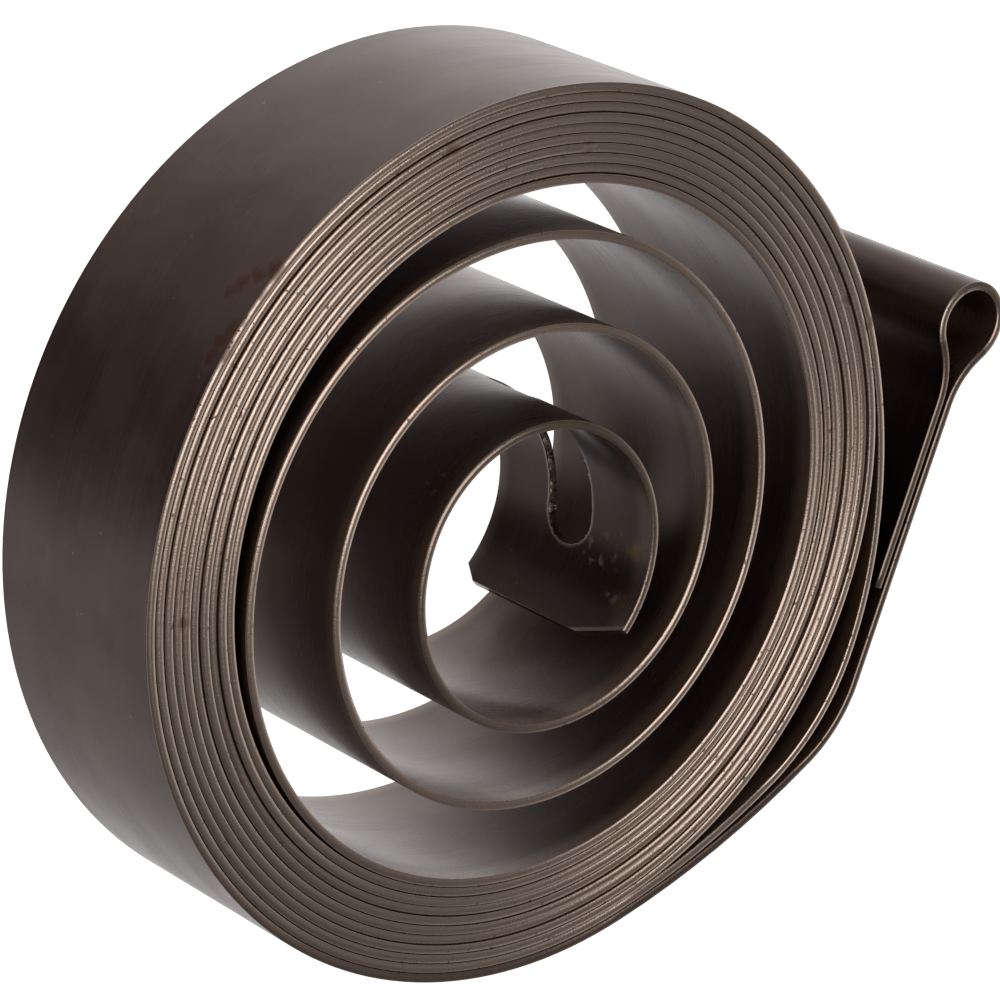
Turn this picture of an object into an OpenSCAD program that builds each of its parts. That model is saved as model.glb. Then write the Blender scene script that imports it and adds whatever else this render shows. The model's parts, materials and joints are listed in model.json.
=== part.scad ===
// Drill press return spring: one flat strip of spring steel, wound on edge into a spiral.
// The strip's width runs up Z, so the spring lies flat on its lower edge at z = 0.
// The origin is on the axis of the inner eye, and +X runs along the hook's leg to its loop.
// The strip is followed from its inner tip outwards, as a chain of bends that run into each other.

/* [Strip] */
// Width of the strip, which is the height of the spring
strip_w = 16; // [8:0.5:30]
// Thickness of the strip
strip_t = 0.56; // [0.3:0.02:1]

/* [Eye] */
// Inside diameter of the eye that wraps the arbor
eye_d = 18.6; // [12:0.2:24]
// How far the radius opens where the strip leaves the eye
eye_step = 1.25; // [0.5:0.05:2]
// Width of the slot that catches the arbor's lug
slot_w = 4.4; // [2:0.2:6]
// How far the slot sits below the middle of the strip
slot_drop = 0.4; // [0:0.1:2]
// Degrees round the eye that the tip runs past the eye's foot
tip_turn = 28; // [20:0.5:36]
// Height of the corner cut off the tip at the upper edge
tip_cut_top = 3.6; // [0.5:0.1:5]
// How far the upper corner's cut runs along the strip
tip_run_top = 1.5; // [0.5:0.1:3]
// Height of the corner cut off the tip at the lower edge
tip_cut_bottom = 1.4; // [0.5:0.1:5]
// How far the lower corner's cut runs along the strip
tip_run_bottom = 1; // [0.5:0.1:3]

/* [Coil] */
// Outside diameter of the tight coil
coil_od = 60.4; // [52:0.2:80]
// Clearance between the tight turns
coil_gap = 0.1; // [0.08:0.01:0.3]
// Whole turns that lie tight
tight_turns = 8; // [4:1:10]
// Whole loose turns between the eye and the tight coil
loose_turns = 2; // [1:1:3]
// How much further each loose turn opens on its -X side than on its +X side
lean_x = 0.1; // [0:0.05:0.5]
// How much further each loose turn opens on its -Y side than on its +Y side
lean_y = 0.6; // [0:0.05:0.9]

/* [Outer turns] */
// How far the last whole turn stands off the coil beside the hook
bulge = 1.76; // [0.4:0.08:2.4]
// Bend radius between the outer turn and the hook's leg, at mid thickness
leg_bend_r = 10.2; // [4:0.2:20]
// Clearance between the hook's tail and the turn that stands off the coil
tail_clear = 0.1; // [0.08:0.01:1]

/* [Hook] */
// Straight length of the leg, from the bend to the neck
leg_len = 20; // [10:0.5:30]
// Inside diameter of the loop
loop_d = 4.8; // [3:0.1:8]
// Straight length between the neck and the loop, on each side
flare_len = 0.8; // [0.2:0.1:1.5]
// Gap between the leg and the tail that is folded back along it
fold_gap = 0.4; // [0.1:0.05:1]
// Straight length of the tail
tail_len = 13.3; // [5:0.1:18]

/* [Hidden] */
$fn = 180;
steel = [0.29, 0.26, 0.25];

// These three turns have sines and cosines of two decimals, so bends that end on them meet exactly
turn_s = atan2(7, 24);
turn_m = atan2(3, 4);
turn_l = atan2(4, 3);

// Radii are held to steps of 5 microns, for the same reason
function grid(v) = round(v * 200) / 200;

// All radii are to the middle of the strip's thickness
eye_r = grid((eye_d + strip_t) / 2);

// The tight coil grows by half a pitch each half turn, so its clearance is the same all round
half_pitch = grid((strip_t + coil_gap) / 2);
coil_halves = 2 * tight_turns + 1;
coil_top_r = grid((coil_od - strip_t) / 2);
function coil_r(j) = coil_top_r - (coil_halves + 2 - j) * half_pitch;

// The loose turns open by the same step each quarter, plus a lean that comes and goes each turn
loose_quarters = 4 * loose_turns + 1;
lean = [0, lean_x, lean_x + lean_y, lean_y];
loose_step = (coil_r(0) - eye_r - eye_step - lean_x) / loose_quarters;
function loose_r(k) = grid(eye_r + eye_step + k * loose_step + lean[k % 4]);

// The last whole turn flattens, bends sharply and flattens again, and rejoins the coil
bulge_r = coil_r(coil_halves + 1);
spread = grid(bulge / 0.16);

// The outermost turn flattens and bends into the leg, far enough out for the tail to lie inside it
lead_r = coil_r(coil_halves + 3);
leg_drop = grid(bulge + strip_t - coil_gap + fold_gap + tail_clear);
lead_flat_r = 2 * lead_r + 5 * leg_drop - leg_bend_r;

// The hook's two sides part at the neck, so that the loop is closed round its own middle
fold_half = grid((strip_t + fold_gap) / 2);
loop_r = grid((loop_d + strip_t) / 2);
neck_r = 4 * loop_r - 5 * fold_half - 3 * flare_len;

// Each run of the strip is [radius, turn to the left], or [length, 0] where it is straight
runs = concat(
    [[eye_r, turn_m], [eye_r, 180]],
    [for (k = [0 : loose_quarters]) [loose_r(k), 90]],
    [[coil_r(0), 90]],
    [for (j = [1 : coil_halves]) [coil_r(j), 180]],
    [[bulge_r, turn_m], [bulge_r + 2 * spread, turn_s], [bulge_r - 1.2 * spread, turn_m]],
    [[bulge_r, turn_s], [bulge_r + spread, turn_m - turn_s], [bulge_r, turn_l]],
    [[coil_r(coil_halves + 2), 180]],
    [[lead_r, turn_m], [lead_flat_r, turn_s], [leg_bend_r, turn_m], [leg_len, 0]],
    [[neck_r, -turn_m], [flare_len, 0], [loop_r, 180 + 2 * turn_m], [flare_len, 0]],
    [[neck_r, -turn_m], [tail_len, 0]]
);

// Where a run ends, seen from its own start with the strip heading along +X
function run_end(run) =
    run[1] == 0
    ? [run[0], 0]
    : run[0] * [sin(abs(run[1])), sign(run[1]) * (1 - cos(run[1]))];

function turned(v, a) = [v[0] * cos(a) - v[1] * sin(a), v[0] * sin(a) + v[1] * cos(a)];

// Place and heading at the start of every run, from a little beyond the tip
first_angle = -90 - turn_m;
starts = [
    for (
        i = 0, p = eye_r * [cos(first_angle), sin(first_angle)], a = first_angle + 90;
        i < len(runs);
        p = p + turned(run_end(runs[i]), a), a = a + runs[i][1], i = i + 1
    ) [p, a]
];

// A point far beyond any bend, at the turn given from the start of a bend to the left or right
reach = 500;
function far_point(turn, side) = reach * [sin(turn), -side * cos(turn)];

// A bend's ring is cut by the sector it covers, or by the mouth it leaves open where that is smaller
module bend(r, turn) {
    side = sign(turn);
    sweep = abs(turn);
    translate([0, side * r, 0])
        linear_extrude(strip_w)
            if (sweep < 180) {
                intersection() {
                    ring(r);
                    sector(0, sweep, side);
                }
            } else {
                difference() {
                    ring(r);
                    sector(sweep, 360, side);
                }
            }
}

module ring(r) {
    difference() {
        circle(r + strip_t / 2);
        circle(r - strip_t / 2);
    }
}

module sector(from, to, side) {
    start = far_point(from, side);
    stop = far_point(to, side);
    polygon([[0, 0], start, start + stop, stop]);
}

// A whole number of quarter turns is swept about its own centre
module quarter_turns(r, turn) {
    translate([0, r, 0])
        rotate([0, 0, -90])
            rotate_extrude(angle = turn)
                translate([r - strip_t / 2, 0])
                    square([strip_t, strip_w]);
}

module straight(length) {
    translate([0, -strip_t / 2, 0])
        cube([length, strip_t, strip_w]);
}

module run(r, turn) {
    if (turn == 0) {
        straight(r);
    } else if (turn % 90 == 0) {
        quarter_turns(r, turn);
    } else {
        bend(r, turn);
    }
}

// The slot runs from just past the eye's foot, where its end is round for the lug, to a square end
slot_sweep = 90 - turn_s;
cut_depth = 3;
module eye_slot() {
    translate([0, 0, strip_w / 2 - slot_drop])
        rotate([0, 0, -slot_sweep]) {
            rotate_extrude(angle = slot_sweep)
                translate([eye_r - cut_depth / 2, -slot_w / 2])
                    square([cut_depth, slot_w]);
            translate([eye_r - cut_depth / 2, 0, 0])
                rotate([0, 90, 0])
                    cylinder(r = slot_w / 2, h = cut_depth);
        }
}

// The tip is sheared square across the strip
tip_angle = -90 - tip_turn;
tip_waste = 4;
module tip_end() {
    rotate([0, 0, tip_angle])
        translate([eye_r - cut_depth / 2, -tip_waste, -1])
            cube([cut_depth, tip_waste, strip_w + 2]);
}

// A sheared corner at the tip: height is measured up the tip, from the edge that loses its corner
module tip_corner(height, along) {
    rotate([0, 0, tip_angle])
        translate([eye_r, 0, 0])
            rotate([90, 0, 90])
                linear_extrude(cut_depth, center = true)
                    polygon([
                        [-1, height + height / along],
                        [along + along / height, -1],
                        [-1, -1]
                    ]);
}

module spring_strip() {
    color(steel)
        difference() {
            union() {
                for (i = [0 : len(runs) - 1])
                    translate(starts[i][0])
                        rotate([0, 0, starts[i][1]])
                            run(runs[i][0], runs[i][1]);
            }
            eye_slot();
            tip_end();
            tip_corner(tip_cut_bottom, tip_run_bottom);
            translate([0, 0, strip_w])
                mirror([0, 0, 1])
                    tip_corner(tip_cut_top, tip_run_top);
        }
}

spring_strip();
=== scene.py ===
# %% [markdown]
# # A drill press return spring, made the way the real one is made
#
# The real spring starts as a flat strip of spring steel. The strip is slit to width, a slot is
# pierced near one end, two corners are cropped, and then it is coiled on its edge. This lesson
# follows the same order: a flat blank is modelled first, and a curve then coils it.

import json
import math

import bpy
import numpy as np
from mathutils import Matrix, Vector


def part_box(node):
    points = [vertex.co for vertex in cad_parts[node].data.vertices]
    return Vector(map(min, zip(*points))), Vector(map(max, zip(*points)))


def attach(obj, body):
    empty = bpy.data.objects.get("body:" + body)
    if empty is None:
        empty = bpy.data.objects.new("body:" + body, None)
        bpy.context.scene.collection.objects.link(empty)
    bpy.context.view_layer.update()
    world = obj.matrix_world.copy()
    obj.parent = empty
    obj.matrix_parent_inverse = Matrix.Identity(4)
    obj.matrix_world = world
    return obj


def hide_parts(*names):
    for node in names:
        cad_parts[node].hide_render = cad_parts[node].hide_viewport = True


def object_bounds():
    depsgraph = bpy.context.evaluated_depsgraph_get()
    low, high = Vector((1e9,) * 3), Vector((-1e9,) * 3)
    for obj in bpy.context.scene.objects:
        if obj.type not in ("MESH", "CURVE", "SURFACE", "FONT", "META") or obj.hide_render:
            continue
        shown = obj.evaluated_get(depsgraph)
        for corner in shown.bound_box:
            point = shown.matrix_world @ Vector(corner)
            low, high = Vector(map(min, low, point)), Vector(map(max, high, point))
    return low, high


MM = 0.001

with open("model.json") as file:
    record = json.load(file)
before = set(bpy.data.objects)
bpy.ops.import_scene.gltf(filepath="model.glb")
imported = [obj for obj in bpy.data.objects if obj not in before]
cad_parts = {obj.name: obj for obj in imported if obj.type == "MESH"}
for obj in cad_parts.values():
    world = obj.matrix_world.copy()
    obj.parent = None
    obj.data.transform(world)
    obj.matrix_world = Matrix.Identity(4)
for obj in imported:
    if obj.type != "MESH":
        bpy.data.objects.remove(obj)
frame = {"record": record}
cad_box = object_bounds()
bpy.ops.object.select_all(action="DESELECT")
print("spring box in mm:", [[round(v / MM, 2) for v in corner] for corner in cad_box])

# %% [markdown]
# ## The sizes that drive the shape
#
# The strip's width and the radii of the eye and the loop are read from the frame, so that the
# dressed spring and the solid one can't drift apart. The other sizes are those of the solid. They
# are in millimetres, and MM turns them to metres, which is Blender's unit here.

# %% Sizes in millimetres
NODE = "spring_strip"

low_corner, high_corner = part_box(NODE)
mounts = {mount["name"]: mount for mount in frame["record"]["mounts"]}
strip_w = (high_corner.z - low_corner.z) / MM
eye_d = 2 * mounts["arbor_eye"]["dims"]["r_mm"]
loop_d = 2 * mounts["hook_loop"]["dims"]["r_mm"]

# The strip's thickness, and how far its radius opens where it leaves the eye
strip_t = 0.56
eye_step = 1.25

# The slot in the eye, and the two corners cropped off the tip
slot_w = 4.4
slot_drop = 0.4
tip_turn = math.radians(28)
tip_cut_top = 3.6
tip_run_top = 1.5
tip_cut_bottom = 1.4
tip_run_bottom = 1.0

# The tight coil, and the loose turns, which open further on their -X and -Y sides
coil_od = 60.4
coil_gap = 0.1
tight_turns = 8
loose_turns = 2
lean_x = 0.1
lean_y = 0.6

# The turn that stands off the coil, and the hook
bulge = 1.76
leg_bend_r = 10.2
tail_clear = 0.1
leg_len = 20.0
flare_len = 0.8
fold_gap = 0.4
tail_len = 13.3
print("strip", round(strip_w, 2), "mm wide, eye", eye_d, "mm, loop", loop_d, "mm")

# %% [markdown]
# ## The route of the strip
#
# From its inner tip to the end of its tail the strip is a chain of bends that run into each
# other: the eye, two loose turns, the tight coil, a turn that stands off the coil, and the hook.
# Each run is a radius and a turn to the left, or a length and no turn where it is straight. A
# spiral formula would be shorter, but a real spring isn't a perfect spiral: the loose turns lean
# to one side and the last turn bulges.

# %% Radii of the turns
# These three turns have plain fractions as sines and cosines, so bends that end on them meet exactly
turn_s = math.atan2(7, 24)
turn_m = math.atan2(3, 4)
turn_l = math.atan2(4, 3)
half = math.pi
quarter = math.pi / 2

eye_r = (eye_d + strip_t) / 2
half_pitch = (strip_t + coil_gap) / 2
coil_halves = 2 * tight_turns + 1
coil_top_r = (coil_od - strip_t) / 2


def coil_r(j):
    """Radius of half turn j of the tight coil, which grows by half a pitch each time."""
    return coil_top_r - (coil_halves + 2 - j) * half_pitch


loose_quarters = 4 * loose_turns + 1
lean = [0, lean_x, lean_x + lean_y, lean_y]
loose_step = (coil_r(0) - eye_r - eye_step - lean_x) / loose_quarters


def loose_r(k):
    """Radius of quarter turn k of the loose turns."""
    return eye_r + eye_step + k * loose_step + lean[k % 4]


print("radii in mm: eye", round(eye_r, 2), "and coil", round(coil_r(0), 2), "to", round(coil_top_r, 2))

# %% The bulge and the hook
# The last whole turn flattens, bends sharply and flattens again. This much spread between its
# radii makes it stand off the coil by the bulge and then rejoin it.
bulge_per_spread = 0.16
spread = bulge / bulge_per_spread
bulge_r = coil_r(coil_halves + 1)
bulge_flat_r = bulge_r + 2 * spread
bulge_sharp_r = bulge_r - 1.2 * spread
bulge_back_r = bulge_r + spread

# The outermost turn flattens into the leg, and the hook's sides part at the neck, round the loop.
# These radii follow from the three turns above, with every bend running smoothly into the next.
lead_r = coil_r(coil_halves + 3)
leg_drop = bulge + strip_t - coil_gap + fold_gap + tail_clear
lead_flat_r = 2 * lead_r + 5 * leg_drop - leg_bend_r
fold_half = (strip_t + fold_gap) / 2
loop_r = (loop_d + strip_t) / 2
neck_r = 4 * loop_r - 5 * fold_half - 3 * flare_len
print("bulge", bulge, "mm, neck", round(neck_r, 2), "mm and loop", round(loop_r, 2), "mm in radius")

# %% The chain of bends
eye_runs = [(eye_r, tip_turn), (eye_r, half)]
coil_runs = [(loose_r(k), quarter) for k in range(loose_quarters + 1)]
coil_runs += [(coil_r(0), quarter)]
coil_runs += [(coil_r(j), half) for j in range(1, coil_halves + 1)]
outer_runs = [(bulge_r, turn_m), (bulge_flat_r, turn_s), (bulge_sharp_r, turn_m)]
outer_runs += [(bulge_r, turn_s), (bulge_back_r, turn_m - turn_s), (bulge_r, turn_l)]
outer_runs += [(coil_r(coil_halves + 2), half)]
leg_runs = [(lead_r, turn_m), (lead_flat_r, turn_s), (leg_bend_r, turn_m), (leg_len, 0)]
leg_runs += [(neck_r, -turn_m), (flare_len, 0)]
loop_run = (loop_r, half + 2 * turn_m)
tail_runs = [(flare_len, 0), (neck_r, -turn_m), (tail_len, 0)]
hook_runs = leg_runs + [loop_run] + tail_runs
runs = eye_runs + coil_runs + outer_runs + hook_runs


def run_length(run):
    size, turn = run
    return abs(size * turn) if turn else size


def chain_length(chain):
    return sum(run_length(run) for run in chain)


blank_len = chain_length(runs)
eye_len = chain_length(eye_runs)
print(len(runs), "runs, strip length", round(blank_len), "mm")

# %% [markdown]
# ## The coiling curve
#
# The curve is what the strip will be wrapped along. A Bezier curve is made for this: a bend of
# up to 30 degrees is a circle to within a micron if its handles are 4/3 tan(turn / 4) of the
# radius long, so each run is cut into such bends.

# %% Draw the curve
BEND_MAX = math.radians(30)
CURVE_STEPS = 24
tip_angle = -quarter - tip_turn


def route_points():
    """Points of the route with the handle lengths before and after each, in millimetres."""
    place = Vector((eye_r * math.cos(tip_angle), eye_r * math.sin(tip_angle), 0))
    heading = tip_angle + quarter
    points = [[place.copy(), heading, 0, 0]]
    for size, turn in runs:
        steps = max(1, math.ceil(abs(turn) / BEND_MAX))
        for _ in range(steps):
            bend = turn / steps
            chord = 2 * size * abs(math.sin(bend / 2)) if turn else size
            handle = size * 4 / 3 * abs(math.tan(bend / 4)) if turn else size / 3
            points[-1][3] = handle
            along = heading + bend / 2
            place = place + chord * Vector((math.cos(along), math.sin(along), 0))
            heading += bend
            points.append([place.copy(), heading, handle, 0])
    return points


bpy.ops.curve.primitive_bezier_curve_add(location=(0, 0, 0))
route = bpy.context.object
route.name = "coiling_route"
spline = route.data.splines[0]
route_list = route_points()
spline.bezier_points.add(len(route_list) - len(spline.bezier_points))
for point, (place, heading, before, after) in zip(spline.bezier_points, route_list):
    ahead = Vector((math.cos(heading), math.sin(heading), 0))
    point.handle_left_type = point.handle_right_type = "FREE"
    point.co = place * MM
    point.handle_left = (place - before * ahead) * MM
    point.handle_right = (place + after * ahead) * MM
route.data.resolution_u = CURVE_STEPS
route.data.twist_mode = "Z_UP"
bpy.ops.object.select_all(action="DESELECT")
print("route of", len(route_list), "points,", round(spline.calc_length() / MM, 1), "mm")

# %% [markdown]
# ## The flat blank: the pierced and cropped end
#
# Only the first stretch, which becomes the eye, has features in it. It is a box, cropped at the
# tip by two bisects. The slot is cut by a boolean with a punch: a box whose two edges at one end
# are bevelled until they meet in a half circle, where the arbor's lug sits. A pierced wall tears
# as the punch goes through, so the punch's sides are made a little ragged. Doing all this while
# the strip is flat keeps every edge straight and easy to round afterwards.

# %% Shear the eye's stretch and crop its tip
def box_object(name, low, high):
    """A box between two corners given in millimetres, with its place in its mesh."""
    size = Vector(high) - Vector(low)
    bpy.ops.mesh.primitive_cube_add(size=1, location=(Vector(low) + Vector(high)) / 2 * MM)
    obj = bpy.context.object
    obj.name = name
    obj.scale = size * MM
    bpy.ops.object.transform_apply(location=True, rotation=True, scale=True)
    return obj


# The strip is drawn a little thicker than it is, because the real turns lie closer than the solid's
snug = 0.04
half_t = (strip_t + snug) / 2
strip = box_object("coiled_strip", (0, -half_t, 0), (eye_len, half_t, strip_w))

bpy.ops.object.mode_set(mode="EDIT")
corner_cuts = ((0, -1, tip_cut_bottom, tip_run_bottom), (strip_w, 1, tip_cut_top, tip_run_top))
for edge_z, side, height, reach in corner_cuts:
    bpy.ops.mesh.select_all(action="SELECT")
    bpy.ops.mesh.bisect(
        plane_co=Vector((reach, 0, edge_z)) * MM,
        plane_no=Vector((-height, 0, side * reach)).normalized(),
        use_fill=True,
        clear_outer=True,
    )
bpy.ops.object.mode_set(mode="OBJECT")
print("cropped stretch:", len(strip.data.vertices), "corners,", round(eye_len, 1), "mm long")


# %% Helpers for picking parts of a mesh
def corner_places(mesh):
    places = np.empty(3 * len(mesh.vertices))
    mesh.vertices.foreach_get("co", places)
    return places.reshape(-1, 3) / MM


def edge_ends(mesh):
    """Places of each edge's two ends, in millimetres."""
    ends = np.empty(2 * len(mesh.edges), int)
    mesh.edges.foreach_get("vertices", ends)
    return corner_places(mesh)[ends.reshape(-1, 2)]


def pick(obj, mode, chosen):
    """Leaves obj in edit mode with only the chosen vertices or edges selected."""
    bpy.ops.object.mode_set(mode="EDIT")
    bpy.ops.mesh.select_all(action="DESELECT")
    bpy.ops.mesh.select_mode(type=mode)
    bpy.ops.object.mode_set(mode="OBJECT")
    parts = obj.data.vertices if mode == "VERT" else obj.data.edges
    parts.foreach_set("select", chosen)
    bpy.ops.object.mode_set(mode="EDIT")


print("cropped stretch reaches", corner_places(strip.data).max(axis=0).round(2), "mm")

# %% Shape the slot's punch
slot_start = eye_r * (tip_turn + turn_s)
slot_end = eye_r * (tip_turn + quarter)
slot_z = strip_w / 2 - slot_drop
punch_reach = 2 * strip_t

# Bevels of half the width would overlap, so they stop just short and their last corners are merged
punch_round = 0.499 * slot_w
punch_merge = 0.01 * slot_w
PUNCH_SEGMENTS = 20

punch = box_object(
    "slot_punch",
    (slot_start - slot_w / 2, -punch_reach, slot_z - slot_w / 2),
    (slot_end, punch_reach, slot_z + slot_w / 2),
)
ends = edge_ends(punch.data)
runs_through = np.ptp(ends[:, :, 1], axis=1) > strip_t
pick(punch, "EDGE", runs_through & (ends[:, :, 0] < slot_start).all(axis=1))
bpy.ops.mesh.bevel(offset=punch_round * MM, segments=PUNCH_SEGMENTS, affect="EDGES")
bpy.ops.mesh.select_all(action="SELECT")
bpy.ops.mesh.remove_doubles(threshold=punch_merge * MM)
bpy.ops.object.mode_set(mode="OBJECT")
print("punch:", len(punch.data.vertices), "corners")

# %% Tear the punch's sides and pierce the slot
slot_ragged = 0.04
RAGGED_CUTS = 50
RAGGED_SEED = 4

pick(punch, "EDGE", np.ptp(edge_ends(punch.data)[:, :, 0], axis=1) > slot_w)
bpy.ops.mesh.subdivide(number_cuts=RAGGED_CUTS)
bpy.ops.mesh.select_all(action="SELECT")
bpy.ops.transform.vertex_random(offset=slot_ragged * MM, seed=RAGGED_SEED)
bpy.ops.object.mode_set(mode="OBJECT")

bpy.context.view_layer.objects.active = strip
bpy.ops.object.modifier_add(type="BOOLEAN")
strip.modifiers[-1].object = punch
strip.modifiers[-1].operation = "DIFFERENCE"
strip.modifiers[-1].solver = "EXACT"
bpy.ops.object.modifier_apply(modifier=strip.modifiers[-1].name)
bpy.data.objects.remove(punch)
print("slot from", round(slot_start, 2), "to", round(slot_end, 2), "mm along the strip")

# %% [markdown]
# ## Round the edges, then slice the stretch
#
# Slitting and winding wear the strip's corners round, and those small rounds catch the light on
# every turn. The slot's rim gets a wider round, where piercing drew the steel in. The end that the
# rest of the strip grows from is left alone. The stretch is then sliced across, so that it can
# bend smoothly, and once along its edges, so that they can rise to a ridge later.

# %% Round the strip's and the slot's edges
edge_round = 0.03
slot_round = 0.08
EDGE_SEGMENTS = 3
RIM_SEGMENTS = 2
SHARP_ANGLE = math.radians(40)
slot_margin = 0.2

# How far short of a place along the strip, in millimetres, still counts as being there
NEAR = 0.01


def bevel_sharp(size, chosen_at, segments):
    """Bevels the sharp edges whose two ends pass the test on places in millimetres."""
    bpy.ops.object.mode_set(mode="EDIT")
    bpy.ops.mesh.select_mode(type="EDGE")
    bpy.ops.mesh.select_all(action="DESELECT")
    bpy.ops.mesh.edges_select_sharp(sharpness=SHARP_ANGLE)
    bpy.ops.object.mode_set(mode="OBJECT")
    mesh = strip.data
    sharp = np.empty(len(mesh.edges), bool)
    mesh.edges.foreach_get("select", sharp)
    pick(strip, "EDGE", sharp & chosen_at(edge_ends(mesh)))
    bpy.ops.mesh.bevel(offset=size * MM, segments=segments, affect="EDGES", clamp_overlap=True)
    bpy.ops.object.mode_set(mode="OBJECT")


def on_slot(ends):
    reach = slot_w / 2 + slot_margin
    x, z = ends[:, :, 0], ends[:, :, 2]
    inside = (x > slot_start - reach) & (x < slot_end + reach) & (abs(z - slot_z) < reach)
    return inside.all(axis=1)


def past(ends, station):
    """Whether edges lie at a place along the strip, or beyond it."""
    return (ends[:, :, 0] > station - NEAR).all(axis=1)


bpy.ops.object.select_all(action="DESELECT")
strip.select_set(True)
bpy.context.view_layer.objects.active = strip
bevel_sharp(slot_round, on_slot, RIM_SEGMENTS)
bevel_sharp(edge_round, lambda ends: ~on_slot(ends) & ~past(ends, eye_len), EDGE_SEGMENTS)
print("rounded stretch:", len(strip.data.vertices), "corners")

# %% Slice the eye's stretch
BEND_STEP = math.radians(2)
cut_snap = 0.002
eye_slices = round((tip_turn + half) / BEND_STEP)

# The ridge lies a little off the middle of the strip's thickness
ridge_y = -0.015

bpy.ops.object.mode_set(mode="EDIT")
for k in range(1, eye_slices):
    bpy.ops.mesh.select_all(action="SELECT")
    bpy.ops.mesh.bisect(
        plane_co=(eye_len * k / eye_slices * MM, 0, 0),
        plane_no=(1, 0, 0),
        threshold=cut_snap * MM,
    )
bpy.ops.mesh.select_all(action="SELECT")
bpy.ops.mesh.bisect(plane_co=(0, ridge_y * MM, 0), plane_no=(0, 1, 0))
bpy.ops.object.mode_set(mode="OBJECT")
print("sliced stretch:", len(strip.data.vertices), "corners")

# %% [markdown]
# ## Roll out the rest of the strip
#
# The end face of the stretch has the rounded section already, so it is extruded once for each
# run. The new long edges are then subdivided, so that the strip bends by about two degrees a
# slice. Runs that need equally many slices are subdivided together, which is much quicker.

# %% Extrude each run
VERY_NEAR = 0.001
grown_runs = runs[len(eye_runs):]
stations = [eye_len]
for run in grown_runs:
    pick(strip, "VERT", corner_places(strip.data)[:, 0] > stations[-1] - VERY_NEAR)
    bpy.ops.mesh.extrude_region_move(
        TRANSFORM_OT_translate={"value": (run_length(run) * MM, 0, 0)}
    )
    bpy.ops.object.mode_set(mode="OBJECT")
    stations.append(stations[-1] + run_length(run))
print("strip rolled out to", round(stations[-1]), "mm")

# %% Slice each run
STRAIGHT_STEP = 1.0
FEWEST_SLICES = 2
MOST_OF_RUN = 0.9


def slices_of(run):
    size, turn = run
    steps = abs(turn) / BEND_STEP if turn else size / STRAIGHT_STEP
    return max(FEWEST_SLICES, round(steps))


run_slices = np.array([slices_of(run) for run in grown_runs])
run_lengths = np.diff(stations)
for slices in sorted(set(run_slices)):
    ends = edge_ends(strip.data)
    ends_x = ends[:, :, 0]
    run_at = np.clip(np.searchsorted(stations, ends_x.mean(axis=1)) - 1, 0, len(run_slices) - 1)
    whole = np.ptp(ends_x, axis=1) > MOST_OF_RUN * run_lengths[run_at]
    pick(strip, "EDGE", whole & (run_slices[run_at] == slices) & past(ends, eye_len))
    bpy.ops.mesh.subdivide(number_cuts=int(slices) - 1)
    bpy.ops.object.mode_set(mode="OBJECT")
print("slices in a run:", run_slices.min(), "to", run_slices.max())

# %% Round the tail's end
tail_round = 0.05
bevel_sharp(tail_round, lambda ends: past(ends, stations[-1]), RIM_SEGMENTS)

# Where two bevels meet they can leave corners on top of each other, and these are merged
merge_within = 0.0004
bpy.ops.object.mode_set(mode="EDIT")
bpy.ops.mesh.select_all(action="SELECT")
bpy.ops.mesh.remove_doubles(threshold=merge_within * MM)
bpy.ops.object.mode_set(mode="OBJECT")
print("whole blank:", len(strip.data.vertices), "corners,", len(strip.data.polygons), "faces")

# %% [markdown]
# ## Mark out the flat strip
#
# While the strip is flat, a UV map stores where each point is along and across it, in metres.
# The rolling lines, scratches and stains can then follow the strip round every turn. The inner
# side is shifted across the map, so that a mark on one side doesn't show on the other. The wide
# faces and the slit edges get their own finish, so they are told apart here by their normals.

# %% UV map and finish of each face
FACE_SIDE_SHIFT = 2 * strip_w * MM
FACE_LIMIT = 0.97
mesh = strip.data
uv_map = mesh.uv_layers.new(name="strip_flat")
places = corner_places(mesh)
corner_of = np.empty(len(mesh.loops), int)
mesh.loops.foreach_get("vertex_index", corner_of)
normals = np.empty(3 * len(mesh.polygons))
mesh.polygons.foreach_get("normal", normals)
normals = normals.reshape(-1, 3)
sides = np.empty(len(mesh.polygons), int)
mesh.polygons.foreach_get("loop_total", sides)

flat_uv = places[corner_of][:, [0, 2]] * MM
flat_uv[:, 1] += places[corner_of][:, 1] * MM
flat_uv[:, 1] += np.repeat(normals[:, 1] > 0, sides) * FACE_SIDE_SHIFT
uv_map.uv.foreach_set("vector", flat_uv.astype(np.float32).ravel())
is_edge = abs(normals[:, 1]) < FACE_LIMIT
mesh.polygons.foreach_set("material_index", is_edge.astype(np.int32))
print("faces on the wide sides:", int((~is_edge).sum()), "on the edges:", int(is_edge.sum()))

# %% [markdown]
# ## Make the strip uneven
#
# A wound spring is never quite true: its turns don't sit at the same height or the same distance
# apart. Its slit edges aren't flat either. They fall away from a low ridge, and lean a little to one
# side or the other, so each turn shows a bright line and a dark one. Slow sine waves along the
# strip do this, because they repeat exactly each time the script runs.

# %% Ridge and wander
EDGE_SLOPE = math.tan(math.radians(13))

# Each wave is its height, the millimetres in one radian of it, and where it starts
rise_waves = ((0.05, 41, 0), (0.04, 17.3, 1.0))
drift_waves = ((0.012, 29, 0.5),)
lean_waves = ((0.05, 37, 2.0), (0.03, 13.7, 0))

# The strip is lifted by a little more than the ridge's height, which keeps it above the floor
LIFT_SHARE = 1.2
lift = LIFT_SHARE * EDGE_SLOPE * half_t

places = corner_places(mesh)


def wander(waves):
    return sum(height * np.sin(places[:, 0] / pace + start) for height, pace, start in waves)


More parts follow.
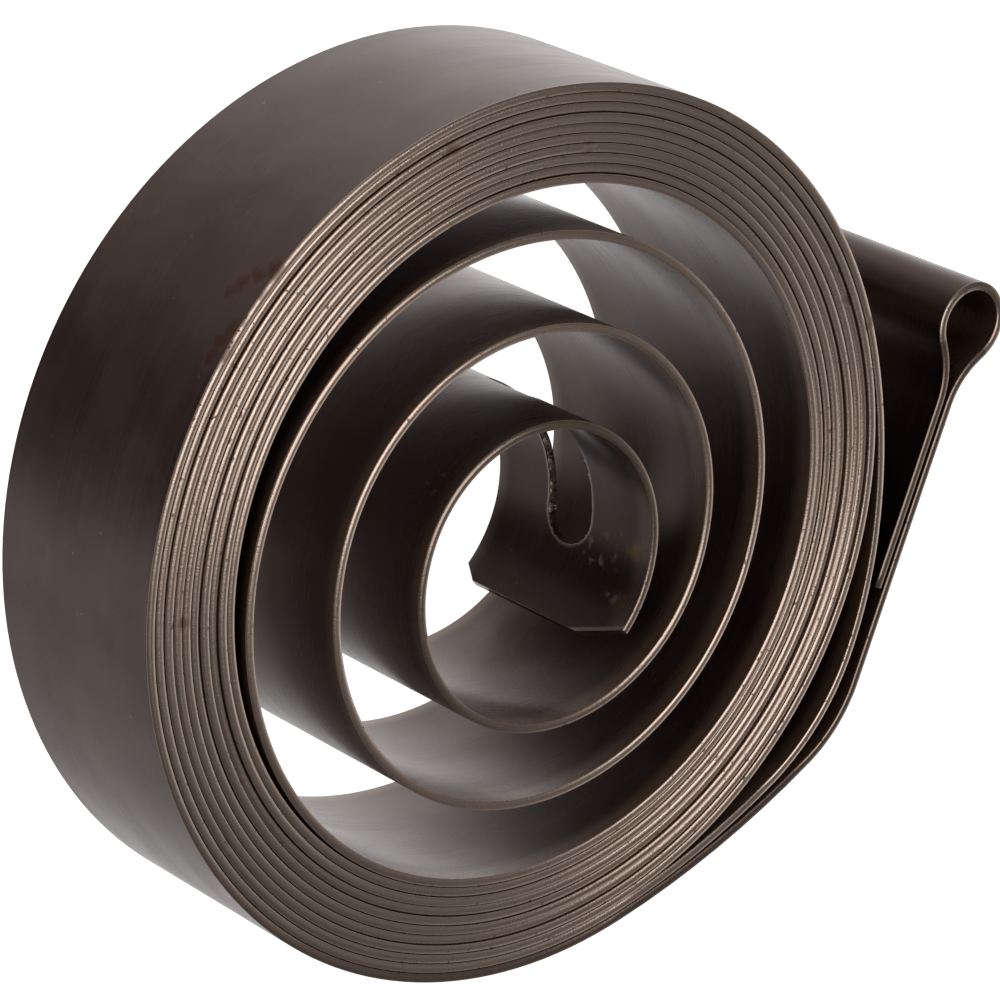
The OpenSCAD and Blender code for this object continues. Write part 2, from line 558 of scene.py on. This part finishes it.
rise = wander(rise_waves)
roof = EDGE_SLOPE * (half_t - abs(places[:, 1])) + wander(lean_waves) * places[:, 1]
drift = wander(drift_waves)
places[:, 2] += roof * np.clip(2 * places[:, 2] / strip_w - 1, -1, 1)
places[:, 2] += rise - rise.min() + lift
places[:, 1] += drift
mesh.vertices.foreach_set("co", (places * MM).ravel())
mesh.update()
print("turns wander", round(float(np.ptp(rise)), 2), "mm up and down")

# %% [markdown]
# ## Coil the strip
#
# A Curve modifier wraps the blank along the route. It keeps lengths along the strip, just as
# coiling does. Extruding a section along the curve would be quicker, but the slot and the cropped
# tip would then have to be cut into a strip that is already bent. Weighted normals let the wide
# faces shade as true cylinders, and leave the small rounds to catch the light.

# %% Coil and smooth
SMOOTH_BELOW = math.radians(50)
AREA_WEIGHT = 100

bpy.ops.object.modifier_add(type="CURVE")
strip.modifiers[-1].object = route
strip.modifiers[-1].deform_axis = "POS_X"
bpy.ops.object.modifier_apply(modifier=strip.modifiers[-1].name)
bpy.data.objects.remove(route)

bpy.ops.object.shade_smooth_by_angle(angle=SMOOTH_BELOW)
bpy.ops.object.modifier_add(type="WEIGHTED_NORMAL")
strip.modifiers[-1].keep_sharp = True
strip.modifiers[-1].weight = AREA_WEIGHT
bpy.ops.object.modifier_apply(modifier=strip.modifiers[-1].name)

coiled = corner_places(strip.data)
print("coiled strip, low", coiled.min(axis=0).round(2), "high", coiled.max(axis=0).round(2))

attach(strip, "root")
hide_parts(NODE)

# %% [markdown]
# ## Colours and nodes
#
# Colours are written as they look on a screen, in sRGB hex, and turned to the linear values that
# a shader works in. One small function adds a node, sets it and links it, so that a material below
# reads as a list of its layers.

# %% Helpers for materials
def colour(text):
    def linear(c):
        return c / 12.92 if c <= 0.04045 else ((c + 0.055) / 1.055) ** 2.4

    return tuple(linear(int(text[i:i + 2], 16) / 255) for i in (1, 3, 5)) + (1.0,)


def add(tree, kind, settings=None, output=None, **inputs):
    """Adds a node and gives back the output named, or else the first one in use.

    An input is a value, or an output to link. It is named with _ for a space, or numbered: _0, _1.
    """
    node = tree.nodes.new("ShaderNode" + kind)
    for name, value in (settings or {}).items():
        setattr(node, name, value)
    sockets = [socket for socket in node.inputs if socket.enabled]
    named = {socket.name.replace(" ", "_"): socket for socket in reversed(sockets)}
    for name, value in inputs.items():
        socket = sockets[int(name[1:])] if name[1:].isdigit() else named[name]
        if isinstance(value, bpy.types.NodeSocket):
            tree.links.new(value, socket)
        else:
            socket.default_value = value
    in_use = [socket for socket in node.outputs if socket.enabled]
    return node.outputs[output] if output else next(iter(in_use), None)


def new_material(name):
    material = bpy.data.materials.new(name)
    material.use_nodes = True
    material.node_tree.nodes.clear()
    return material, material.node_tree


ADD = {"operation": "ADD"}
SUBTRACT = {"operation": "SUBTRACT"}
MULTIPLY = {"operation": "MULTIPLY"}
MULTIPLY_ADD = {"operation": "MULTIPLY_ADD"}
MAXIMUM = {"operation": "MAXIMUM"}
ABSOLUTE = {"operation": "ABSOLUTE"}
COMPARE = {"operation": "COMPARE"}
LESS_THAN = {"operation": "LESS_THAN"}
SOFT_ENDS = {"interpolation_type": "SMOOTHSTEP"}
RGBA = {"data_type": "RGBA"}
STRIP_FLAT = {"uv_map": "strip_flat"}
print("a mid grey in linear light:", round(colour("#808080")[0], 3))

# %% [markdown]
# ## Patterns that follow the strip, and patches that don't
#
# Rolling and slitting leave lines along the strip. They are noise on the flat strip's UV map, with
# grains of a set length and width in millimetres, so they run round every turn as the real ones do.
# Stains and dust came later, on the coiled spring, so they are patches of noise in space.

# %% Grains and patches
GRAIN_DETAIL = 3.0
PATCH_DETAIL = 4.0


def strip_grains(tree, sizes):
    """Noise for each name, with grains of (length, width) millimetres along and across the strip."""
    flat = add(tree, "UVMap", STRIP_FLAT)
    grains = {}
    for name, (length, width) in sizes.items():
        grain = (length * MM, width * MM, 1)
        drawn = add(tree, "VectorMath", {"operation": "DIVIDE"}, _0=flat, _1=grain)
        grains[name] = add(
            tree, "TexNoise", {"noise_dimensions": "2D"}, Vector=drawn, Scale=1.0, Detail=GRAIN_DETAIL
        )
    return grains


def patches(tree, sizes):
    """Patches for each name: millimetres across, and the noise levels where one starts and is full."""
    place = add(tree, "TexCoord", output="Object")
    covers = {}
    for name, (size, start, full) in sizes.items():
        noise = add(tree, "TexNoise", Vector=place, Scale=1 / (size * MM), Detail=PATCH_DETAIL)
        covers[name] = add(tree, "MapRange", SOFT_ENDS, Value=noise, From_Min=start, From_Max=full)
    return covers


print("grains follow", round(blank_len), "mm of strip")

# %% Layers, and places along the strip
def painted(tree, tone, layers):
    """Lays each (cover, strength, colour) over a tone in turn."""
    for cover, strength, shade in layers:
        part = add(tree, "Math", MULTIPLY, _0=cover, _1=strength)
        tone = add(tree, "Mix", RGBA, Factor=part, A=tone, B=colour(shade))
    return tone


def dulled(tree, roughness, layers):
    """Adds each (cover, strength) to a roughness."""
    for cover, strength in layers:
        roughness = add(tree, "Math", MULTIPLY_ADD, _0=cover, _1=strength, _2=roughness)
    return roughness


hook_start = blank_len - chain_length(hook_runs)
outer_start = hook_start - chain_length(outer_runs)
loop_half = run_length(loop_run) / 2
loop_middle = hook_start + chain_length(leg_runs) + loop_half
print("hook from", round(hook_start), "mm, its loop round", round(loop_middle), "mm along the strip")

# %% [markdown]
# ## Marks at set places
#
# Rust and smudges sit where the photo shows them. A mark is a place and a reach. It fades with the
# distance from its place, and noise breaks it into ragged islands, because rust spreads unevenly.

# %% Marks
MARK_DETAIL = 5.0
MARK_RAGGED = 1.6
MARK_FADE = (0.2, 1.0)
coil_middle = Vector((
    (cad_box[0][0] + cad_box[1][0]) / 2,
    cad_box[1][1] - coil_od / 2 * MM,
))


def on_coil(angle, radius, height):
    """A place in metres, from degrees round the coil's middle and millimetres."""
    turn = math.radians(angle)
    across = Vector((math.cos(turn), math.sin(turn))) * radius * MM + coil_middle
    return (*across, height * MM)


def on_eye(angle, height):
    """A place in metres on the inside of the eye."""
    turn = math.radians(angle)
    return (eye_d / 2 * MM * math.cos(turn), eye_d / 2 * MM * math.sin(turn), height * MM)


def marks(tree, spots, island):
    """Ragged marks: spots are (place, reach in millimetres), broken into islands of that size."""
    place = add(tree, "TexCoord", output="Object")
    nearest = 0.0
    for centre, reach in spots:
        apart = add(tree, "VectorMath", {"operation": "DISTANCE"}, _0=place, _1=centre)
        close = add(tree, "MapRange", SOFT_ENDS, Value=apart, From_Min=reach * MM, From_Max=0.0)
        nearest = add(tree, "Math", MAXIMUM, _0=nearest, _1=close)
    noise = add(tree, "TexNoise", Vector=place, Scale=1 / (island * MM), Detail=MARK_DETAIL)
    broken = add(tree, "Math", MULTIPLY_ADD, _0=noise, _1=MARK_RAGGED, _2=-MARK_RAGGED / 2)
    broken = add(tree, "Math", ADD, _0=nearest, _1=broken)
    start, full = MARK_FADE
    covered = add(tree, "MapRange", SOFT_ENDS, Value=broken, From_Min=start, From_Max=full)
    softened = add(tree, "Math", {"operation": "SQRT"}, _0=nearest)
    return add(tree, "Math", MULTIPLY, _0=covered, _1=softened)


print("middle of the coil in mm:", [round(v / MM, 2) for v in coil_middle])

# %% [markdown]
# ## Oil-tempered spring steel
#
# The wide faces keep the brown-black oxide of tempering in oil, under a thin film of oil. To the
# eye that is a dark brown body under a dim grey mirror. Oil over iron oxide reflects about a tenth
# of the light, as one surface of IOR 1.95 would, and the steel below tints it brown. Rolling leaves
# fine lines along the strip, so the mirror is drawn out across them. The finish isn't the same all
# along: heat for bending left the hook and the eye darker, and shearing left a bright burr round the
# slot and along the tip's cut. The inside of the loop is drawn browner. Near both edges the faces
# are painted lighter and browner: painted light, where light falls in between the turns.

# %% Zones of the wide faces
# Each fade is where a zone starts and where it is full, in millimetres
hook_fade = (hook_start + 30, hook_start + 60)
eye_fade = (eye_len + 8, eye_len - 10)
loop_fade = (loop_half + 6, loop_half - 1)
# Painted light near the faces' edges, measured from the nearer edge
painted_light_rim_fade = (1.6, 0.2)
slot_burr_fade = (slot_w / 2 + 0.3, slot_w / 2 + 0.1)
cut_burr_fade = (0.4, 0.2)


def from_slot(tree, flat):
    """Distance on the inner face from the line that the slot is round, in metres."""
    slot_foot = (slot_start * MM, (slot_z + half_t) * MM + FACE_SIDE_SHIFT, 0)
    from_foot = add(tree, "VectorMath", SUBTRACT, _0=flat, _1=slot_foot)
    past_foot = add(tree, "SeparateXYZ", Vector=from_foot)
    before = add(tree, "Math", {"operation": "MINIMUM"}, _0=past_foot, _1=0.0)
    after = add(tree, "Math", SUBTRACT, _0=past_foot, _1=(slot_end - slot_start) * MM)
    after = add(tree, "Math", MAXIMUM, _0=after, _1=0.0)
    outside = add(tree, "Math", ADD, _0=before, _1=after)
    outside = add(tree, "CombineXYZ", X=outside, Y=past_foot.node.outputs["Y"])
    return add(tree, "VectorMath", {"operation": "LENGTH"}, output="Value", _0=outside)


def from_cut(tree, flat):
    """Distance on the inner face from the cut at the tip's upper corner, in metres."""
    cut_foot = (tip_run_top * MM, (strip_w + half_t) * MM + FACE_SIDE_SHIFT, 0)
    inward = Vector((tip_cut_top, -tip_run_top, 0)).normalized()
    from_foot = add(tree, "VectorMath", SUBTRACT, _0=flat, _1=cut_foot)
    return add(
        tree, "VectorMath", {"operation": "DOT_PRODUCT"}, output="Value", _0=from_foot, _1=inward
    )


def from_rim(tree, across):
    """Distance from the nearer edge of the strip, in metres."""
    half_w = strip_w / 2 * MM
    wrapped = add(tree, "Math", {"operation": "WRAP"}, _0=across, _1=half_w, _2=-half_w)
    return add(tree, "Math", ABSOLUTE, _0=wrapped)


def face_zones(tree):
    """How much each place on the wide faces lies in each zone."""
    flat = add(tree, "UVMap", STRIP_FLAT)
    along = add(tree, "SeparateXYZ", Vector=flat)
    across = along.node.outputs["Y"]
    apart = add(tree, "Math", SUBTRACT, _0=along, _1=loop_middle * MM)
    measures = {
        "hook": (along, hook_fade),
        "eye": (along, eye_fade),
        "loop": (add(tree, "Math", ABSOLUTE, _0=apart), loop_fade),
        "rim": (from_rim(tree, across), painted_light_rim_fade),
        "slot_burr": (from_slot(tree, flat), slot_burr_fade),
        "cut_burr": (from_cut(tree, flat), cut_burr_fade),
    }
    zones = {}
    for name, (measure, (start, full)) in measures.items():
        zones[name] = add(
            tree, "MapRange", SOFT_ENDS, Value=measure, From_Min=start * MM, From_Max=full * MM
        )
    zones["burr"] = add(tree, "Math", MAXIMUM, _0=zones["slot_burr"], _1=zones["cut_burr"])

    # The loop is brown only inside, and the outermost turn's outer face gets no painted light near its
    # rim
    inner = add(tree, "Math", {"operation": "GREATER_THAN"}, _0=across, _1=FACE_SIDE_SHIFT / 2)
    covered = add(tree, "Math", LESS_THAN, _0=along, _1=outer_start * MM)
    covered = add(tree, "Math", MAXIMUM, _0=covered, _1=inner)
    zones["rim"] = add(tree, "Math", MULTIPLY, _0=zones["rim"], _1=covered)
    zones["loop"] = add(tree, "Math", MULTIPLY, _0=zones["loop"], _1=inner)
    return zones


print("slot's burr fades out", round(slot_burr_fade[0] - slot_w / 2, 2), "mm from the slot")

# %% Rust, varnish and scuffs on the wide faces
# Rust on the outside of the coil: degrees, height and reach
face_rust_spots = [
    (on_coil(angle, coil_od / 2, height), reach)
    for angle, height, reach in (
        (64.5, 15.6, 1.6),
        (66, 14.9, 1.7),
        (67.5, 14.2, 1.6),
        (69, 13.6, 1.3),
        (73, 15.6, 1.4),
        (75, 15.3, 1.7),
        (77, 15.2, 1.6),
    )
]
varnish_spots = [
    (on_eye(-78, 14.8), 1.6),
    (on_eye(-99, 14.6), 1.6),
]
scuff_spots = [
    (on_eye(-86, 11.4), 3.2),
    (on_eye(-94, 13.6), 2.6),
    (on_eye(-78, 13.0), 2.4),
    (on_eye(68, 13.6), 2.2),
]
RUST_ISLAND = 0.6
VARNISH_ISLAND = 0.8
SCUFF_ISLAND = 2.0
print(len(face_rust_spots), "rust,", len(varnish_spots), "varnish and", len(scuff_spots), "scuff marks")

# %% Oxide on the wide faces
OXIDE_IOR = 1.95
OXIDE_METAL = 0.5
RUST_METAL = 0.85
OXIDE_ROUGHNESS = 0.16
ROLLED_STRETCH = 0.5
ACROSS_LINES = 0.25
oxide_grains = {
    "rolling": (70, 0.3),
    "bands": (260, 2.5),
    "smudges": (11, 4),
    "wipes": (2.5, 20),
}
oxide_patches = {
    "stains": (7, 0.36, 0.64),
    "rubbed": (9, 0.52, 0.70),
    "blots": (2.2, 0.64, 0.74),
    "specks": (0.7, 0.70, 0.75),
    "dust": (0.6, 0.72, 0.76),
    "scuffs": (0.9, 0.56, 0.68),
}


def oxide_face():
    material, tree = new_material("oil_tempered_spring_steel")
    grain = strip_grains(tree, oxide_grains)
    patch = patches(tree, oxide_patches)
    zone = face_zones(tree)
    rust = marks(tree, face_rust_spots, RUST_ISLAND)
    varnish = marks(tree, varnish_spots, VARNISH_ISLAND)
    worn = marks(tree, scuff_spots, SCUFF_ISLAND)
    scuffs = add(tree, "Math", MULTIPLY, _0=patch["scuffs"], _1=worn)

    tone = add(tree, "Mix", RGBA, Factor=grain["bands"], A=colour("#432C23"), B=colour("#5A4137"))
    tone = painted(tree, tone, [
        (patch["stains"], 0.6, "#3A2419"),
        (patch["rubbed"], 0.5, "#785A4C"),
        (patch["blots"], 0.5, "#20150F"),
        (grain["smudges"], 0.4, "#573E33"),
        (grain["wipes"], 0.3, "#402A20"),
        (grain["rolling"], 0.35, "#664E43"),
        # Painted light: lighter brown near the faces' edges, where light falls in between the turns
        (zone["rim"], 0.8, "#8A6C56"),
        (zone["hook"], 0.6, "#3A2A22"),
        (zone["loop"], 0.8, "#8A6A55"),
        (zone["eye"], 0.6, "#2E211B"),
        (zone["burr"], 0.7, "#A0958E"),
        (patch["specks"], 0.6, "#1C120D"),
        (patch["dust"], 0.5, "#8A8079"),
        (varnish, 0.75, "#7A5A2C"),
        (scuffs, 0.7, "#A59C96"),
        (rust, 0.7, "#5A3122"),
    ])
    roughness = dulled(tree, OXIDE_ROUGHNESS, [
        (grain["rolling"], 0.07),
        (grain["smudges"], 0.14),
        (rust, 0.3),
        (scuffs, 0.3),
    ])

    # Rust, scale and stains have no oil on them, so their dark colour takes over from the grey mirror
    bare = rust
    for cover, share in ((zone["hook"], 1.0), (zone["eye"], 0.7), (patch["stains"], 0.3)):
        part = add(tree, "Math", MULTIPLY, _0=cover, _1=share)
        bare = add(tree, "Math", MAXIMUM, _0=bare, _1=part)
    # The loop's inside and the painted light near the edges are made less metallic, so their brown
    # shows
    brown = add(tree, "Math", MAXIMUM, _0=zone["loop"], _1=zone["rim"])
    bare = add(tree, "Math", SUBTRACT, _0=bare, _1=brown)
    metal = add(tree, "Math", MULTIPLY_ADD, _0=bare, _1=RUST_METAL - OXIDE_METAL, _2=OXIDE_METAL)

    ridges = add(tree, "Bump", Strength=0.05, Distance=0.01 * MM, Height=grain["rolling"])
    rolled = add(tree, "Tangent", {"direction_type": "UV_MAP", **STRIP_FLAT})
    shader = add(
        tree, "BsdfPrincipled",
        Base_Color=tone, Metallic=metal, Roughness=roughness, IOR=OXIDE_IOR,
        Anisotropic=ROLLED_STRETCH, Anisotropic_Rotation=ACROSS_LINES, Normal=ridges, Tangent=rolled,
    )
    add(tree, "OutputMaterial", Surface=shader)
    return material


strip.data.materials.append(oxide_face())
print(strip.data.materials[0].name, "with", len(strip.data.materials[0].node_tree.nodes), "nodes")

# %% [markdown]
# ## Slit edges
#
# The edges were sheared when the strip was slit. They are bare steel that has browned a little:
# brighter than the faces, with lines along the strip, fine ticks across it from the shears, pits,
# and rust where the oil has gone. The hook's and the eye's edges were heated for bending and are
# darker, and so are the tip and the slot's torn wall. The ticks of the real strip are too fine to
# show, so they are drawn about twice as coarse.

# %% Zones and rust of the edges
# Each fade is where a zone starts and where it is full, in millimetres along the strip
edge_hook_fade = (hook_start - 40, hook_start + 20)
edge_eye_fade = (90, 20)
edge_tip_fade = (0.6, 0.1)
# How much less the loop's edges are darkened: a lighter colour that brightens the highlight along its
# rim
LOOP_HIGHLIGHT_LIFT = 0.6
wall_margin = 0.5

# Rust between the turns, then rust that runs over the coil's rim: degrees, radius and reach
edge_rust_spots = [
    (on_coil(angle, radius, strip_w), reach)
    for angle, radius, reach in (
        (-45, 28.6, 1.2),
        (14, 25.9, 1.2),
        (37, 28.3, 1.3),
        (110, 27.5, 1.2),
        (137, 25.4, 1.1),
        (143, 28.5, 1.1),
        (-50, 29.8, 1.2),
        (-8, 29.8, 1.2),
        (64.5, coil_od / 2 + 1, 2.6),
        (68, coil_od / 2 + 1, 2.5),
        (72, coil_od / 2 + 1, 2.5),
        (76, coil_od / 2 + 1, 2.8),
    )
]
EDGE_RUST_ISLAND = 0.9


def edge_zones(tree):
    """How much each place on the edges lies in each zone."""
    along = add(tree, "SeparateXYZ", Vector=add(tree, "UVMap", STRIP_FLAT))
    across = along.node.outputs["Y"]
    zones = {}
    fades = {"hook": edge_hook_fade, "eye": edge_eye_fade, "tip": edge_tip_fade}
    for name, (start, full) in fades.items():
        zones[name] = add(
            tree, "MapRange", SOFT_ENDS, Value=along, From_Min=start * MM, From_Max=full * MM
        )

    # The loop's edges are darkened less, a lighter colour that brightens the highlight along the loop's
    # rim, and the tip is dark only below its upper cut
    loop = add(tree, "Math", COMPARE, _0=along, _1=loop_middle * MM, _2=loop_half * MM)
    hook = add(tree, "Math", MULTIPLY_ADD, _0=loop, _1=-LOOP_HIGHLIGHT_LIFT, _2=zones["hook"])
    zones["hook"] = add(tree, "Math", MAXIMUM, _0=hook, _1=0.0)
    below = add(tree, "Math", LESS_THAN, _0=across, _1=(strip_w - tip_cut_top) * MM)
    zones["tip"] = add(tree, "Math", MULTIPLY, _0=zones["tip"], _1=below)
    wall_half = (slot_w / 2 + wall_margin) * MM
    zones["pierced"] = add(tree, "Math", COMPARE, _0=across, _1=slot_z * MM, _2=wall_half)
    return zones


print(len(edge_rust_spots), "rust marks on the edges")

# %% Bare steel on the edges
EDGE_METAL = 0.9
EDGE_ROUGHNESS = 0.17
edge_grains = {"lines": (40, 0.12), "ticks": (0.16, 0.5), "turns": (90, 40)}
edge_patches = {"pits": (0.4, 0.62, 0.70)}


def slit_edge():
    material, tree = new_material("slit_spring_steel_edge")
    grain = strip_grains(tree, edge_grains)
    pits = patches(tree, edge_patches)["pits"]
    rust = marks(tree, edge_rust_spots, EDGE_RUST_ISLAND)
    zone = edge_zones(tree)

    tone = add(tree, "Mix", RGBA, Factor=grain["lines"], A=colour("#BA9C8A"), B=colour("#F8E2D2"))
    tone = painted(tree, tone, [
        (grain["turns"], 0.5, "#BCA494"),
        (grain["ticks"], 0.35, "#CAB1A0"),
        (zone["hook"], 0.7, "#6A574B"),
        (zone["eye"], 0.6, "#75645A"),
        (zone["tip"], 0.8, "#33271F"),
        (zone["pierced"], 0.4, "#8A7868"),
        (pits, 0.6, "#55423A"),
        (rust, 0.7, "#5E3D2C"),
    ])
    roughness = dulled(tree, EDGE_ROUGHNESS, [
        (grain["turns"], 0.1),
        (pits, 0.2),
        (rust, 0.3),
        (zone["pierced"], 0.2),
    ])
    rough = add(tree, "Math", ADD, _0=grain["lines"], _1=grain["ticks"])
    ridges = add(tree, "Bump", Strength=0.2, Distance=0.02 * MM, Height=rough)
    shader = add(
        tree, "BsdfPrincipled",
        Base_Color=tone, Metallic=EDGE_METAL, Roughness=roughness, Normal=ridges,
    )
    add(tree, "OutputMaterial", Surface=shader)
    return material


strip.data.materials.append(slit_edge())
print(strip.data.materials[1].name, "with", len(strip.data.materials[1].node_tree.nodes), "nodes")

# %% [markdown]
# ## Floor
#
# The floor is plain and nearly white. The spring's faces stand upright, so seen from above they
# would mirror only the floor. It is left out of the reflections, and the studio shows instead.

# %% Floor
FLOOR_SIZE = 4
bpy.ops.object.select_all(action="DESELECT")
bpy.ops.mesh.primitive_plane_add(size=FLOOR_SIZE, location=(0, 0, 0))
floor = bpy.context.object
floor.name = "pale_floor"
material, tree = new_material("pale_floor")
shader = add(
    tree, "BsdfPrincipled",
    Base_Color=colour("#F4F4F2"), Roughness=0.8,
    Emission_Color=(1, 1, 1, 1), Emission_Strength=1.0,
)
add(tree, "OutputMaterial", Surface=shader)
floor.data.materials.append(material)
floor.visible_glossy = False
floor.visible_diffuse = False
floor.visible_shadow = False
print("floor of", round(floor.dimensions.x), "m")

# %% [markdown]
# ## Studio light
#
# A softbox hangs over the spring, a little to the -Y side, and draws the bright arcs along its
# edges. The rest of the studio is the world, which the steel mirrors: pale walls, lighter on one
# side, under a dim ceiling. A dark and a grey card low on the +Y side give the outer face its dark
# middle, a white card low on the -Y side lights the inner faces, and a window above that card lifts
# the slopes of the edges that the softbox misses. More lamps could do the same, but each would leave
# a hard highlight of its own.

# %% Softbox
softbox_way = Vector((0.016, -0.275, 0.961)).normalized()
softbox_distance = 400
softbox_size = 150
softbox_glow = 2.0
bpy.ops.object.light_add(
    type="AREA",
    location=softbox_way * softbox_distance * MM,
    rotation=softbox_way.to_track_quat("Z", "Y").to_euler(),
)
softbox = bpy.context.object
softbox.name = "softbox"
softbox.data.size = softbox_size * MM
softbox.data.energy = softbox_glow * math.pi * (softbox_size * MM) ** 2
print("softbox of", softbox_size, "mm,", round(softbox.data.energy, 2), "W")

# %% World
def way_to(azimuth, elevation):
    """A direction, from degrees round from +X and degrees up."""
    turn, lift = math.radians(azimuth), math.radians(elevation)
    return Vector((math.cos(turn) * math.cos(lift), math.sin(turn) * math.cos(lift), math.sin(lift)))


# Each part of the studio is the way to its middle, how near to that a way has to be for the part to
# start and to be full, as cosines, and what the light is multiplied by outside it and inside it
studio = {
    "light_side": (way_to(-20, 0), (-0.7, 0.5), (0.5, 0.88)),
    "dark_card": (way_to(98, -50), (0.93, 0.99), (1.0, 0.1)),
    "grey_card": (way_to(66, -50), (0.8, 0.985), (1.0, 0.33)),
    "back_card": (way_to(-85, -47), (0.65, 0.96), (1.0, 1.45)),
    "back_window": (way_to(264, 21), (0.9, 0.985), (1.0, 2.0)),
    "dim_ceiling": (way_to(0, 90), (-0.2, 0.6), (1.0, 0.12)),
}

world = bpy.data.worlds.new("studio")
bpy.context.scene.world = world
world.use_nodes = True
tree = world.node_tree
tree.nodes.clear()
way = add(tree, "TexCoord", output="Generated")
glow = 1.0
for middle, (start, full), (outside, inside) in studio.values():
    nearness = add(tree, "VectorMath", {"operation": "DOT_PRODUCT"}, _0=way, _1=middle)
    share = add(
        tree, "MapRange",
        Value=nearness, From_Min=start, From_Max=full, To_Min=outside, To_Max=inside,
    )
    glow = add(tree, "Math", MULTIPLY, _0=glow, _1=share)
background = add(tree, "Background", Color=(1, 1, 1, 1), Strength=glow)
add(tree, "OutputWorld", Surface=background)
bpy.context.scene.view_settings.view_transform = "Standard"
print("studio of", ", ".join(studio))

# %% [markdown]
# ## Camera
#
# The camera looks down on the spring from the side that the photo shows, with a long lens. The
# photo is tilted, so the camera is rolled. Its place was fitted to the two rims of the coil.

# %% Camera
camera_azimuth = 80.403
camera_elevation = 46.713
camera_roll = math.radians(115.217)
camera_distance = 328.923
camera_target = Vector((2.435, -2.348, 8.0))
camera_lens = 179.92
camera_sensor = 36
camera_clip = 10

back = way_to(camera_azimuth, camera_elevation)
level = Vector((0, 0, 1)).cross(back).normalized()
upward = back.cross(level)
right = math.cos(camera_roll) * level + math.sin(camera_roll) * upward
up = back.cross(right)
stand = Matrix.Translation((camera_target + camera_distance * back) * MM)
bpy.ops.object.camera_add()
camera = bpy.context.object
camera.matrix_world = stand @ Matrix((right, up, back)).transposed().to_4x4()
camera.data.lens = camera_lens
camera.data.sensor_width = camera_sensor
camera.data.clip_start = camera_clip * MM
bpy.context.scene.camera = camera
print("camera at", [round(v / MM) for v in camera.location], "mm, lens", camera_lens, "mm")
